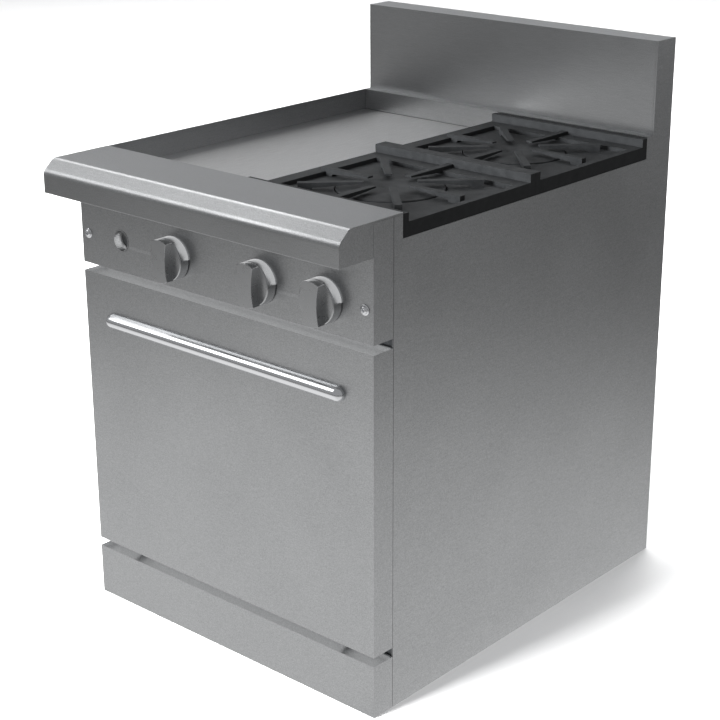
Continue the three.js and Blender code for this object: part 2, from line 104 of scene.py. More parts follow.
FLOOR_SIZE = 60
floor_mesh = bmesh.new()
bmesh.ops.create_grid(floor_mesh, x_segments=1, y_segments=1, size=FLOOR_SIZE / 2)
floor_data = bpy.data.meshes.new("studio_floor")
floor_mesh.to_mesh(floor_data)
floor_object = bpy.data.objects.new("studio_floor", floor_data)
floor_object.location.z = cad_box[0].z - 0.2 * MM
bpy.context.collection.objects.link(floor_object)
floor_paint, _, floor_shader = new_material("pale_studio_floor", 0.9)
floor_shader.inputs["Base Color"].default_value = linear("#f4f4f4")
floor_data.materials.append(floor_paint)
floor_object.visible_diffuse = False  # keeps the undersides and side faces of black iron dark

# Polished and satin metal shows the floor. A graded card just above it, seen only in reflections,
# is bright close to the range and darker further out, as a floor under a soft overhead light is.
CARD_HALF = 7
CARD_CENTRE = (-0.12, -0.3)
CARD_NEAR = 0.45  # the card is brightest out to here
CARD_FAR = 2.85  # and darkest from here on
CARD_DARKEST = 0.22
CARD_RIGHT = 0.86  # the floor to the right of the range is a little darker than in front of it
CARD_BLEND = 0.1  # half the width of the change between the two
card_mesh = bmesh.new()
bmesh.ops.create_grid(card_mesh, x_segments=1, y_segments=1, size=CARD_HALF)
card_data = bpy.data.meshes.new("graded_card")
card_mesh.to_mesh(card_data)
card = bpy.data.objects.new("graded_card", card_data)
card.location = (*CARD_CENTRE, cad_box[0].z - 0.1 * MM)
bpy.context.collection.objects.link(card)
card_paint = bpy.data.materials.new("graded_card")
card_paint.use_nodes = True
card_tree = card_paint.node_tree
spot = add(card_tree, "TexCoord").outputs["Object"]
away = add(card_tree, "VectorMath", {0: spot}, operation="LENGTH").outputs["Value"]
fade = add(
    card_tree,
    "MapRange",
    {
        "Value": away,
        "From Min": CARD_NEAR,
        "From Max": CARD_FAR,
        "To Min": 1.0,
        "To Max": CARD_DARKEST,
    },
    interpolation_type="SMOOTHERSTEP",
)
across = add(card_tree, "SeparateXYZ", {"Vector": spot}).outputs["X"]
right_edge = cad_box[1].x - CARD_CENTRE[0]
turned_away = add(
    card_tree,
    "MapRange",
    {
        "Value": across,
        "From Min": right_edge - CARD_BLEND,
        "From Max": right_edge + CARD_BLEND,
        "To Min": 1.0,
        "To Max": CARD_RIGHT,
    },
    interpolation_type="SMOOTHSTEP",
)
level = add(
    card_tree,
    "Math",
    {0: fade.outputs["Result"], 1: turned_away.outputs["Result"]},
    operation="MULTIPLY",
)
glow = add(card_tree, "Emission", {"Color": linear("#fbfbfb"), "Strength": level.outputs[0]})
card_output = card_tree.nodes["Material Output"]
card_tree.links.new(glow.outputs["Emission"], card_output.inputs["Surface"])
card_data.materials.append(card_paint)
card.visible_camera = False
card.visible_diffuse = False
card.visible_transmission = False
card.visible_shadow = False

world = bpy.data.worlds.new("studio")
world.use_nodes = True
bpy.context.scene.world = world
background = world.node_tree.nodes["Background"]
background.inputs["Color"].default_value = linear("#d8d9db")
heading = add(world.node_tree, "TexCoord").outputs["Generated"]
parts = add(world.node_tree, "SeparateXYZ", {"Vector": heading}).outputs
rearwards = add(
    world.node_tree,
    "MapRange",
    {"Value": parts["Y"], "From Min": 0.5, "From Max": 0.8, "To Min": 0.5, "To Max": 0.85},
)
above = add(world.node_tree, "MapRange", {"Value": parts["Z"], "From Min": -0.05, "From Max": 0.02})
studio_light = add(
    world.node_tree,
    "Math",
    {0: rearwards.outputs["Result"], 1: above.outputs["Result"]},
    operation="MULTIPLY",
)
world.node_tree.links.new(studio_light.outputs[0], background.inputs["Strength"])


def softbox(name, place, target, width, height, radiance, along=None):
    """A soft rectangular light that faces a target, its width laid along a direction."""
    lamp = bpy.data.lights.new(name, "AREA")
    lamp.shape = "RECTANGLE"
    lamp.size = width
    lamp.size_y = height
    lamp.energy = radiance * math.pi * width * height
    holder = bpy.data.objects.new(name, lamp)
    holder.location = place
    facing = (Vector(target) - Vector(place)).normalized()
    turn = facing.to_track_quat("-Z", "Y")
    if along:
        across = Vector(along).normalized()
        turn = Matrix((across, across.cross(facing), -facing)).transposed()
    holder.rotation_euler = turn.to_euler()
    holder.visible_camera = False
    bpy.context.collection.objects.link(holder)
    return holder


# Three strip lights hang on an arch to the left, which runs from the rear, over the top, to the
# front. Each has its middle angle in degrees up from the rear, its spread in degrees, and its
# radiance. They draw the bright lines along the bends of the ledge and along the door pull.
MIDDLE = (0.05, -0.4, 0.75)
ARCH_RADIUS = 4.1
ARCH_LEFT = 3.9
STRIP_BREADTH = 2.0
for name, angle, spread, radiance in (
    ("upper_light", 64, 25, 3.3),
    ("fill_light", 93, 34, 1.0),
    ("front_left_light", 131, 36, 3.0),
):
    turn = math.radians(angle)
    up_arch = ARCH_RADIUS * Vector((0, math.cos(turn), math.sin(turn)))
    place = Vector(MIDDLE) + up_arch - Vector((ARCH_LEFT, 0, 0))
    width = ARCH_RADIUS * math.radians(spread)
    tangent = (0, -math.sin(turn), math.cos(turn))
    softbox(name, place, MIDDLE, width, STRIP_BREADTH, radiance, tangent)

# Wide square lights, seen by dull surfaces only: name, place, target, side and radiance.
for name, place, target, size, radiance in (
    ("overhead_light", (0, 0, 6), (0, 0, 0), 12, 0.8),
    ("front_light", (-1.2, -4.5, 1.7), MIDDLE, 2, 115.0),
    ("top_light", (-0.6, 0.2, 4), (0, 0, 0), 1.6, 4.0),
    ("backdrop_light", (-1.6, 3.4, 3.2), (-1.8, 2.6, 0), 3, 6.0),
):
    softbox(name, place, target, size, size, radiance).visible_glossy = False

# Small hidden lamps stand for the light that bounces about in the narrow places: the slots above
# and below the door, the space behind the knob rims, and the thermostat recess.
LAMP_GAP = 0.3 * MM  # a lamp lies this far off the surface behind it
SLOT_LENGTH = 0.6
SLOT_MIDDLE = 7 * MM  # the middle of a slot's height, below the piece above it
SLOT_LAMP = 10 * MM
RIM_LAMP_RISE = 23 * MM  # only the upper half of a knob's rim is lit from behind
RIM_LAMP = (92 * MM, 42 * MM)
RECESS_LAMP = 22 * MM
panel_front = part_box("control_panel")[0].y
for above_slot in ("control_panel", "door_shell"):
    low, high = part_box(above_slot)
    place = (0, (low.y + high.y) / 2, low.z - LAMP_GAP)
    target = (place[0], place[1], place[2] - 1)
    depth = high.y - low.y - 6 * MM
    softbox(f"slot_light_{above_slot}", place, target, SLOT_LENGTH, depth, 0.6)
    place = (0, high.y + 0.5 * MM, low.z - SLOT_MIDDLE)
    target = (place[0], place[1] - 1, place[2])
    softbox(f"slot_back_light_{above_slot}", place, target, SLOT_LENGTH, SLOT_LAMP, 0.62)
for control in ("griddle", "burner_rear", "burner_front"):
    low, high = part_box(f"knob_{control}")
    middle = (low + high) / 2
    place = (middle.x, panel_front - LAMP_GAP, middle.z + RIM_LAMP_RISE)
    target = (place[0], place[1] - 1, place[2])
    softbox(f"rim_light_{control}", place, target, *RIM_LAMP, 0.95)
low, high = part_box("thermostat_dial")
middle = (low + high) / 2
place = (middle.x + 2 * MM, low.y - LAMP_GAP, middle.z)
target = (place[0], low.y - 1, place[2])
softbox("recess_light", place, target, RECESS_LAMP, RECESS_LAMP, 1.3)

# The backguard would otherwise mirror only black iron behind the open burners. This lamp lies just
# over the grates, faces up, and shows only in reflections.
COOKTOP_WIDTH = 0.3
COOKTOP_LENGTH = 0.5
low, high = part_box("grate_rear")
place = ((low.x + high.x) / 2, high.y - COOKTOP_LENGTH / 2, high.z + 4 * MM)
target = (place[0], place[1], place[2] + 1)
cooktop_light = softbox("cooktop_light", place, target, COOKTOP_WIDTH, COOKTOP_LENGTH, 0.5)
cooktop_light.visible_diffuse = False


# ------------------------------------------------------------------ stainless sheet
# The casing is 304 stainless sheet about 1.2 mm thick, folded on a press brake, with a satin finish
# put on by an abrasive belt. It gives the eye a soft grey reflection with a very fine grain.
def finish_with(node, material):
    """Gives a carried-over piece its material, through the object's own slots."""
    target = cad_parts[node]
    if not target.material_slots:
        target.data.materials.append(None)
    for place in target.material_slots:
        place.link = "OBJECT"
        place.material = material


def soften(target, width, segments=2, angle=30):
    """Rounds the sharp edges of a piece, as folding, grinding or casting leaves them."""
    merge = target.modifiers.new("join_flat_faces", "DECIMATE")
    merge.decimate_type = "DISSOLVE"
    merge.angle_limit = math.radians(0.6)
    edge = target.modifiers.new("soft_edge", "BEVEL")
    edge.width = width
    edge.segments = segments
    edge.limit_method = "ANGLE"
    edge.angle_limit = math.radians(angle)
    edge.harden_normals = False
    tidy = target.modifiers.new("even_shading", "WEIGHTED_NORMAL")
    tidy.keep_sharp = True
    target.data.shade_smooth()


def satin_steel(name, dark, light, roughness, lines_along):
    """Belt-polished steel: fine lines along one axis, a fine grit, and faint wiped patches."""
    line_spacing = 0.9 * MM  # real belt lines are about 0.1 mm apart: drawn coarser, so that they show
    grit = 1.3 * MM
    patch = 160 * MM
    made, tree, shader = new_material(name, roughness, 1.0)
    place = add(tree, "TexCoord").outputs["Object"]
    stretch = [1.0, 1.0, 1.0]
    stretch[lines_along] = 0.05
    drawn = add(tree, "Mapping", {"Vector": place, "Scale": stretch}).outputs["Vector"]
    lines = add(tree, "TexNoise", {"Vector": drawn, "Scale": 1 / line_spacing, "Detail": 2.0})
    speckle = add(tree, "TexNoise", {"Vector": place, "Scale": 1 / grit, "Detail": 1.0})
    wiped = add(tree, "TexNoise", {"Vector": place, "Scale": 1 / patch, "Detail": 4.0})
    both = add(
        tree,
        "Math",
        {0: lines.outputs["Fac"], 1: 0.35, 2: speckle.outputs["Fac"]},
        operation="MULTIPLY_ADD",
    )
    blend = add(tree, "MapRange", {"Value": both.outputs[0], "From Min": 0.4, "From Max": 0.95})
    tone = add(
        tree,
        "Mix",
        {0: blend.outputs["Result"], 6: linear(dark), 7: linear(light)},
        data_type="RGBA",
    )
    tree.links.new(tone.outputs[2], shader.inputs["Base Color"])
    rough = add(
        tree,
        "MapRange",
        {
            "Value": wiped.outputs["Fac"],
            "From Min": 0.3,
            "From Max": 0.7,
            "To Min": roughness - 0.03,
            "To Max": roughness + 0.05,
        },
    )
    tree.links.new(rough.outputs["Result"], shader.inputs["Roughness"])
    relief = add(
        tree, "Bump", {"Height": both.outputs[0], "Strength": 0.12, "Distance": 0.05 * MM}
    )
    tree.links.new(relief.outputs["Normal"], shader.inputs["Normal"])
    return made


casing_steel = satin_steel("satin_stainless", "#98999a", "#bbbcbd", 0.34, 0)
side_steel = satin_steel("satin_stainless_side", "#98999a", "#bbbcbd", 0.34, 1)
for name in ("side_panel_left", "side_panel_right"):
    finish_with(name, side_steel)
    soften(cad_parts[name], 0.5 * MM)
for name in ("control_panel", "kick_panel", "door_shell"):
    finish_with(name, casing_steel)
    soften(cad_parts[name], 0.6 * MM)
finish_with("backguard", casing_steel)
soften(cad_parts["backguard"], 1.5 * MM, 3)
finish_with("grease_trough", casing_steel)
soften(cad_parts["grease_trough"], 0.6 * MM)


# ------------------------------------------------------------------ front ledge
# One folded stainless sheet: a flat top, a sloped nose between two bends, a straight lip and a
# returned soffit. The ends are closed with welded and ground plates.
def make_piece(name, mesh, body, material, replaced=()):
    """Turns a bmesh into a visible piece that rides on a body."""
    bmesh.ops.remove_doubles(mesh, verts=mesh.verts, dist=1e-7)
    bmesh.ops.recalc_face_normals(mesh, faces=mesh.faces)
    data = bpy.data.meshes.new(name)
    mesh.to_mesh(data)
    mesh.free()
    data.materials.append(material)
    made = bpy.data.objects.new(name, data)
    bpy.context.collection.objects.link(made)
    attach(made, body)
    if replaced:
        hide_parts(*replaced)
    return made


def prism(mesh, outline, low, high, at):
    """A closed prism: a 2-D outline between two levels, placed in space by at(a, b, level)."""
    ends = [[mesh.verts.new(at(a, b, level)) for a, b in outline] for level in (low, high)]
    mesh.faces.new(ends[0])
    mesh.faces.new(ends[1][::-1])
    count = len(outline)
    for i in range(count):
        j = (i + 1) % count
        mesh.faces.new((ends[0][i], ends[1][i], ends[1][j], ends[0][j]))


def arc_corner(before, corner, after, radius, steps):
    """The points of an arc that rounds one corner of an outline."""
    at = Vector(corner)
    u = (Vector(before) - at).normalized()
    v = (Vector(after) - at).normalized()
    half = u.angle(v) / 2
    centre = at + (u + v).normalized() * (radius / math.sin(half))
    first = at + u * (radius / math.tan(half)) - centre
    last = at + v * (radius / math.tan(half)) - centre
    points = []
    for i in range(steps + 1):
        share = i / steps
        spoke = first * (1 - share) + last * share
        points.append(tuple(centre + spoke.normalized() * radius))
    return points


ledge_low, ledge_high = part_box("bullnose_ledge")
SHEET = 2.5 * MM
TOUCH = 0.02 * MM  # the soffit stops this far short of the panel
LIP_BEND = 0.8 * MM
NOSE_RUN = 21 * MM
NOSE_DROP = 18 * MM
BEND = 14 * MM
top_rear = (ledge_high.y, ledge_high.z)
upper_bend = (ledge_low.y + NOSE_RUN, ledge_high.z)
lower_bend = (ledge_low.y, ledge_high.z - NOSE_DROP)
lip_foot = (ledge_low.y, ledge_low.z)
soffit = (panel_front - TOUCH, ledge_low.z)
nose = arc_corner(top_rear, upper_bend, lower_bend, BEND, 12)
nose += arc_corner(upper_bend, lower_bend, lip_foot, BEND, 12)
nose += arc_corner(lower_bend, lip_foot, soffit, LIP_BEND, 4)
inner_corner = [(soffit[0], ledge_high.z - SHEET), (ledge_high.y, ledge_high.z - SHEET)]
ledge_outline = [top_rear, *nose, soffit, *inner_corner]
ledge_mesh = bmesh.new()
prism(ledge_mesh, ledge_outline, ledge_low.x, ledge_high.x, lambda a, b, x: (x, a, b))
ledge = make_piece(
    "front_ledge", ledge_mesh, "cabinet", casing_steel, ["bullnose_ledge"]
)
soften(ledge, 0.35 * MM, 2, 40)


# ------------------------------------------------------------------ hidden sheet
# The base, the back, the frame behind the door and the burner box are galvanised sheet: dull grey
# zinc with a faint crystal pattern.
def galvanised_sheet():
    """Hot-dipped zinc: flat crystals that differ slightly in tone and gloss."""
    crystal = 11 * MM
    made, tree, shader = new_material("galvanised_sheet", 0.45, 1.0)
    place = add(tree, "TexCoord").outputs["Object"]
    cells = add(tree, "TexVoronoi", {"Vector": place, "Scale": 1 / crystal, "Randomness": 1.0})
    dust = add(tree, "TexNoise", {"Vector": place, "Scale": 1 / (2 * MM), "Detail": 3.0})
    shade = add(
        tree, "Mix", {0: 0.25, 6: cells.outputs["Color"], 7: dust.outputs["Color"]}, data_type="RGBA"
    )
    grey = add(tree, "RGBToBW", {"Color": shade.outputs[2]})
    tone = add(
        tree,
        "Mix",
        {0: grey.outputs["Val"], 6: linear("#7c7f82"), 7: linear("#a9acae")},
        data_type="RGBA",
    )
    tree.links.new(tone.outputs[2], shader.inputs["Base Color"])
    rough = add(
        tree, "MapRange", {"Value": grey.outputs["Val"], "To Min": 0.36, "To Max": 0.58}
    )
    tree.links.new(rough.outputs["Result"], shader.inputs["Roughness"])
    return made


zinc = galvanised_sheet()
for name in ("base_pan", "rear_panel", "front_frame", "burner_box", "flue_riser", "thermostat_body"):
    finish_with(name, zinc)
    soften(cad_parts[name], 0.5 * MM)


# ------------------------------------------------------------------ griddle plate
# A slab of mild steel, ground flat along its length. It is a little lighter than the casing, and it
# has long grinding marks and a fine grit.
def ground_plate():
    """Ground steel plate with long marks and a fine grit."""
    mark = 1.1 * MM
    made, tree, shader = new_material("ground_steel_plate", 0.4, 1.0)
    place = add(tree, "TexCoord").outputs["Object"]
    drawn = add(tree, "Mapping", {"Vector": place, "Scale": (1.0, 0.03, 1.0)}).outputs["Vector"]
    marks = add(tree, "TexNoise", {"Vector": drawn, "Scale": 1 / mark, "Detail": 3.0})
    grit = add(tree, "TexNoise", {"Vector": place, "Scale": 1 / (1.4 * MM), "Detail": 1.0})
    both = add(tree, "Math", {0: marks.outputs["Fac"], 1: grit.outputs["Fac"]}, operation="ADD")
    blend = add(tree, "MapRange", {"Value": both.outputs[0], "From Min": 0.7, "From Max": 1.3})
    tone = add(
        tree,
        "Mix",
        {0: blend.outputs["Result"], 6: linear("#c4c4c4"), 7: linear("#dedede")},
        data_type="RGBA",
    )
    tree.links.new(tone.outputs[2], shader.inputs["Base Color"])
    relief = add(
        tree, "Bump", {"Height": both.outputs[0], "Strength": 0.15, "Distance": 0.05 * MM}
    )
    tree.links.new(relief.outputs["Normal"], shader.inputs["Normal"])
    return made


finish_with("griddle_plate", ground_plate())
soften(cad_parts["griddle_plate"], 1.0 * MM)


# ------------------------------------------------------------------ cast iron tops and burners
# Grates, caps and burner bodies are grey iron from sand moulds, oiled and baked black. The skin
# shows sand grain and softened edges, and hardly shines.
def cast_iron():
    """Seasoned cast iron with sand grain."""
    sand = 1.6 * MM
    swell = 14 * MM
    made, tree, shader = new_material("seasoned_cast_iron", 0.7)
    shader.inputs["Specular IOR Level"].default_value = 0.25
    place = add(tree, "TexCoord").outputs["Object"]
    grain = add(tree, "TexNoise", {"Vector": place, "Scale": 1 / sand, "Detail": 3.0})
    waves = add(tree, "TexNoise", {"Vector": place, "Scale": 1 / swell, "Detail": 2.0})
    both = add(
        tree, "Math", {0: waves.outputs["Fac"], 1: 0.6, 2: grain.outputs["Fac"]},
        operation="MULTIPLY_ADD",
    )
    blend = add(tree, "MapRange", {"Value": both.outputs[0], "From Min": 0.5, "From Max": 1.1})
    tone = add(
        tree,
        "Mix",
        {0: blend.outputs["Result"], 6: linear("#141516"), 7: linear("#262728")},
        data_type="RGBA",
    )
    tree.links.new(tone.outputs[2], shader.inputs["Base Color"])
    rough = add(
        tree, "MapRange", {"Value": grain.outputs["Fac"], "To Min": 0.6, "To Max": 0.85}
    )
    tree.links.new(rough.outputs["Result"], shader.inputs["Roughness"])
    relief = add(
        tree, "Bump", {"Height": both.outputs[0], "Strength": 0.4, "Distance": 0.3 * MM}
    )
    tree.links.new(relief.outputs["Normal"], shader.inputs["Normal"])
    return made


iron = cast_iron()
for name in ("grate_front", "grate_rear"):
    finish_with(name, iron)
    soften(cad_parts[name], 0.9 * MM, 3)
for name in ("burner_body_front", "burner_body_rear", "oven_burner"):
    finish_with(name, iron)
    soften(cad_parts[name], 0.8 * MM, 2, 40)


def turned(mesh, profile, sides, at):
    """A turned solid: a profile of (radius, height) from axis to axis, placed by at(u, v, height)."""
    rings = []
    for radius, height in profile:
        if radius == 0:
            rings.append([mesh.verts.new(at(0, 0, height))] * sides)
            continue
        spokes = [2 * math.pi * i / sides for i in range(sides)]
        rings.append(
            [mesh.verts.new(at(radius * math.cos(s), radius * math.sin(s), height)) for s in spokes]
        )
    for low, high in zip(rings, rings[1:]):
        for i in range(sides):
            j = (i + 1) % sides
            corners = []
            for corner in (low[i], low[j], high[j], high[i]):
                if corner not in corners:
                    corners.append(corner)
            if len(corners) > 2:
                mesh.faces.new(corners)


for place in ("front", "rear"):
    cap_low, cap_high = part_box(f"burner_cap_{place}")
    middle = (cap_low + cap_high) / 2
    reach = (cap_high.x - cap_low.x) / 2
    thick = 7 * MM
    top = cap_high.z
    # Radius and height: the boss underneath, the edge, the rim step, and the dished middle.
    profile = [
        (0, cap_low.z),
        (33 * MM, cap_low.z),
        (34 * MM, cap_low.z + 1 * MM),
        (34 * MM, top - thick),
        (reach - 2 * MM, top - thick),
        (reach, top - thick + 1.5 * MM),
        (reach, top - 2.4 * MM),
        (reach - 0.6 * MM, top - 1.2 * MM),
        (reach - 2 * MM, top - 0.9 * MM),
        (reach - 15 * MM, top - 0.9 * MM),
        (reach - 17 * MM, top),
        (14 * MM, top),
        (12 * MM, top - 1.4 * MM),
        (0, top - 1.6 * MM),
    ]
    cap_mesh = bmesh.new()
    turned(
        cap_mesh, profile, 96, lambda u, v, h, c=middle: (c.x + u, c.y + v, h)
    )
    cap = make_piece(
        f"cap_{place}", cap_mesh, "cabinet", iron, [f"burner_cap_{place}"]
    )
    cap.data.shade_smooth()


# ------------------------------------------------------------------ knobs and their stems
# Each knob is die-cast zinc with a satin chrome plate: a round skirt with a waisted grip bar that
# runs right across it. It pushes onto a plated steel stem.
def chrome_plate(name, colour, roughness):
    """Chrome plate with faint finger marks."""
    smear = 9 * MM
    made, tree, shader = new_material(name, roughness, 1.0)
    shader.inputs["Base Color"].default_value = linear(colour)
    place = add(tree, "TexCoord").outputs["Object"]
    marks = add(tree, "TexNoise", {"Vector": place, "Scale": 1 / smear, "Detail": 5.0})
    rough = add(
        tree,
        "MapRange",
        {
            "Value": marks.outputs["Fac"],
            "From Min": 0.35,
            "From Max": 0.7,
            "To Min": roughness,
            "To Max": roughness + 0.09,
        },
    )
    tree.links.new(rough.outputs["Result"], shader.inputs["Roughness"])
    return made


chrome = chrome_plate("polished_chrome", "#dddee0", 0.1)
satin_plate = chrome_plate("satin_chrome", "#aeafb0", 0.26)
BAR_END = 16 * MM  # the bar's half width where it meets the rim
RIM_GAP = 0.3 * MM  # the bar's round ends stop this far inside the rim
GRIP_DEPTH = 12.3 * MM
WAIST = 12.7 * MM
SCALLOP = 132.6 * MM
for control in ("griddle", "burner_rear", "burner_front"):
    low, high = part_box(f"knob_{control}")
    centre = (low + high) / 2
    radius = (high.z - low.z) / 2
    skirt_face = low.y + GRIP_DEPTH
    knob_mesh = bmesh.new()
    skirt = [
        (0, high.y),
        (radius - 1 * MM, high.y),
        (radius, high.y - 1 * MM),
        (radius, skirt_face + 2.2 * MM),
        (radius - 0.6 * MM, skirt_face + 0.7 * MM),
        (radius - 2.2 * MM, skirt_face),
        (0, skirt_face),
    ]
    turned(knob_mesh, skirt, 96, lambda u, v, h, c=centre: (c.x + u, h, c.z + v))
    end_height = math.sqrt(radius**2 - BAR_END**2)
    side = []
    for i in range(17):
        z = end_height * (1 - i / 8)
        side.append((WAIST + SCALLOP - math.sqrt(SCALLOP**2 - z * z), z))
    end_angle = math.atan2(side[-1][1], side[-1][0])
    sweep = [end_angle - (math.pi + 2 * end_angle) * i / 14 for i in range(1, 14)]
    foot = [((radius - RIM_GAP) * math.cos(a), (radius - RIM_GAP) * math.sin(a)) for a in sweep]
    outline = side + foot
    outline += [(-a, -b) for a, b in outline]
    prism(
        knob_mesh,
        outline,
        low.y,
        skirt_face + 1 * MM,
        lambda a, b, y, c=centre: (c.x + a, y, c.z + b),
    )
    knob = make_piece(
        f"knob_cap_{control}",
        knob_mesh,
        f"{control}_control",
        satin_plate,
        [f"knob_{control}"],
    )
    soften(knob, 0.7 * MM, 3, 35)


# ------------------------------------------------------------------ door pull
# A half-round pull pressed from sheet and chrome plated. It is open underneath, so that fingers
# reach up into it, and its ends are closed and rounded.
pull_low, pull_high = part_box("door_handle")
PULL_SHEET = 1.6 * MM
PULL_DEPTH = 13 * MM  # half round, so close to half the height of the pull
FINGER_GAP = 8 * MM  # the open part underneath, measured out from the door
END_PLATE = 4 * MM
pull_mesh = bmesh.new()
pull_middle = (pull_low.z + pull_high.z) / 2
pull_half = (pull_high.z - pull_low.z) / 2
pull_reach = (pull_high.x - pull_low.x) / 2
stations = []
for i in range(13):
    bend = math.pi / 2 * i / 12
    stations.append((pull_reach - PULL_DEPTH + PULL_DEPTH * math.sin(bend), math.cos(bend)))
straight = pull_reach - PULL_DEPTH
rows = [(-x, s) for x, s in reversed(stations[1:])]
rows += [(-straight + 2 * straight * i / 24, 1.0) for i in range(25)]
rows += stations[1:]
STEPS = 36
grid = []
for x, share in rows:
    share = max(share, 0.02)
    line = []
    for k in range(STEPS + 1):
        turn = math.pi / 2 - math.pi * k / STEPS
        y = pull_high.y - PULL_DEPTH * share * math.cos(turn)
        z = pull_middle + pull_half * share * math.sin(turn)
        line.append(pull_mesh.verts.new((x, y, z)))
    grid.append(line)
for a, (left, right) in enumerate(zip(grid, grid[1:])):
    for k in range(STEPS):
        face_middle = (left[k].co + right[k + 1].co) / 2
        over_fingers = abs(face_middle.x) < straight - END_PLATE
        near_door = face_middle.y > pull_high.y - FINGER_GAP
        if over_fingers and near_door and face_middle.z < pull_middle:
            continue
        pull_mesh.faces.new((left[k], left[k + 1], right[k + 1], right[k]))
loose = [v for v in pull_mesh.verts if not v.link_faces]
bmesh.ops.delete(pull_mesh, geom=loose, context="VERTS")
pull = make_piece("door_pull", pull_mesh, "door", chrome, ["door_handle"])
shell = pull.modifiers.new("sheet_thickness", "SOLIDIFY")
shell.thickness = PULL_SHEET
shell.offset = -1
pull.data.shade_smooth()

# ------------------------------------------------------------------ small fittings on the panel
# Two washer-head screws hold the control panel. A satin steel collar lines the recess of the oven
# thermostat, whose steel dial sits at the bottom. Two blank aluminium strips are bonded on.
def rounded_rectangle(x0, x1, y0, y1, radius, steps):
    """The points of a rectangle with round corners."""
    points = []
    centres = (
        (x1 - radius, y1 - radius),
        (x0 + radius, y1 - radius),
        (x0 + radius, y0 + radius),
        (x1 - radius, y0 + radius),
    )
    for quarter, (x, y) in enumerate(centres):
        for i in range(steps + 1):
            angle = math.pi / 2 * (quarter + i / steps)
            points.append((x + radius * math.cos(angle), y + radius * math.sin(angle)))
    return points


for side in ("left", "right"):
    low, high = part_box(f"panel_screw_{side}")
    centre = (low + high) / 2
    screw_mesh = bmesh.new()
    # radius, and depth behind the panel's face, in millimetres
    crown = [
        (0, 9.0),
        (2.4, 9.0),
        (2.4, -0.2),
        (8.0, -0.2),
        (7.9, -1.0),
        (7.3, -1.5),
        (5.7, -1.7),
        (5.5, -2.4),
        (4.9, -3.6),
        (3.6, -4.1),
        (2.7, -4.2),
        (2.5, -4.0),
        (2.3, -1.9),
        (0, -1.7),
    ]
    profile = [(r * MM, panel_front + depth * MM) for r, depth in crown]
    turned(screw_mesh, profile, 36, lambda u, v, h, c=centre: (c.x + u, h, c.z + v))
    screw = make_piece(
        f"washer_screw_{side}", screw_mesh, "cabinet", chrome, [f"panel_screw_{side}"]
    )
    screw.data.shade_smooth()
    soften(screw, 0.15 * MM, 2, 50)
finish_with("thermostat_collar", casing_steel)
soften(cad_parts["thermostat_collar"], 0.3 * MM, 2, 40)


def plated_steel():
    """Zinc-plated steel for stems, pipes, pins and brackets: pale, slightly cloudy."""
    made, tree, shader = new_material("zinc_plated_steel", 0.38, 1.0)
    place = add(tree, "TexCoord").outputs["Object"]
    cloud = add(tree, "TexNoise", {"Vector": place, "Scale": 1 / (6 * MM), "Detail": 4.0})
    tone = add(
        tree,
        "Mix",
        {0: cloud.outputs["Fac"], 6: linear("#8d9092"), 7: linear("#b3b5b6")},
        data_type="RGBA",
    )
    tree.links.new(tone.outputs[2], shader.inputs["Base Color"])
    rough = add(
        tree, "MapRange", {"Value": cloud.outputs["Fac"], "To Min": 0.28, "To Max": 0.5}
    )
    tree.links.new(rough.outputs["Result"], shader.inputs["Roughness"])
    return made


plated = plated_steel()
bright_strip = satin_steel("bright_aluminium_strip", "#a4a5a6", "#c4c5c6", 0.36, 0)
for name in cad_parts:
    if name.startswith(("valve_stem", "hinge_", "gas_", "griddle_burner")):
        finish_with(name, plated)
        soften(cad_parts[name], 0.3 * MM, 2, 40)
for side in ("left", "right"):
    low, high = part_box(f"legend_strip_{side}")
    plate_mesh = bmesh.new()
    corners = rounded_rectangle(low.x, high.x, low.z, high.z, 1 * MM, 4)
    face = panel_front - 0.15 * MM
    glued = panel_front - 0.02 * MM
    prism(plate_mesh, corners, face, glued, lambda a, b, y: (a, y, b))
    make_piece(
        f"blank_strip_{side}", plate_mesh, "cabinet", bright_strip, [f"legend_strip_{side}"]
    )
finish_with("thermostat_dial", casing_steel)
soften(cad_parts["thermostat_dial"], 0.3 * MM, 2, 40)


# ------------------------------------------------------------------ gas valves
# Forged brass bodies, machined on the faces: warm yellow with fine turning marks.
def machined_brass():
    """Brass with fine cutter marks and light tarnish."""
    made, tree, shader = new_material("machined_brass", 0.34, 1.0)
    place = add(tree, "TexCoord").outputs["Object"]
    marks = add(tree, "TexWave", {"Vector": place, "Scale": 1 / (1.2 * MM), "Distortion": 0.6})
    tarnish = add(tree, "TexNoise", {"Vector": place, "Scale": 1 / (7 * MM), "Detail": 4.0})
    tone = add(
        tree,
        "Mix",
        {0: tarnish.outputs["Fac"], 6: linear("#8e6f38"), 7: linear("#c4a25c")},
        data_type="RGBA",
    )
    tree.links.new(tone.outputs[2], shader.inputs["Base Color"])
    relief = add(
        tree, "Bump", {"Height": marks.outputs["Fac"], "Strength": 0.1, "Distance": 0.05 * MM}
    )
    tree.links.new(relief.outputs["Normal"], shader.inputs["Normal"])
    return made


brass = machined_brass()
for name in ("valve_griddle", "valve_burner_rear", "valve_burner_front"):
    finish_with(name, brass)
    soften(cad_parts[name], 0.5 * MM, 2, 40)


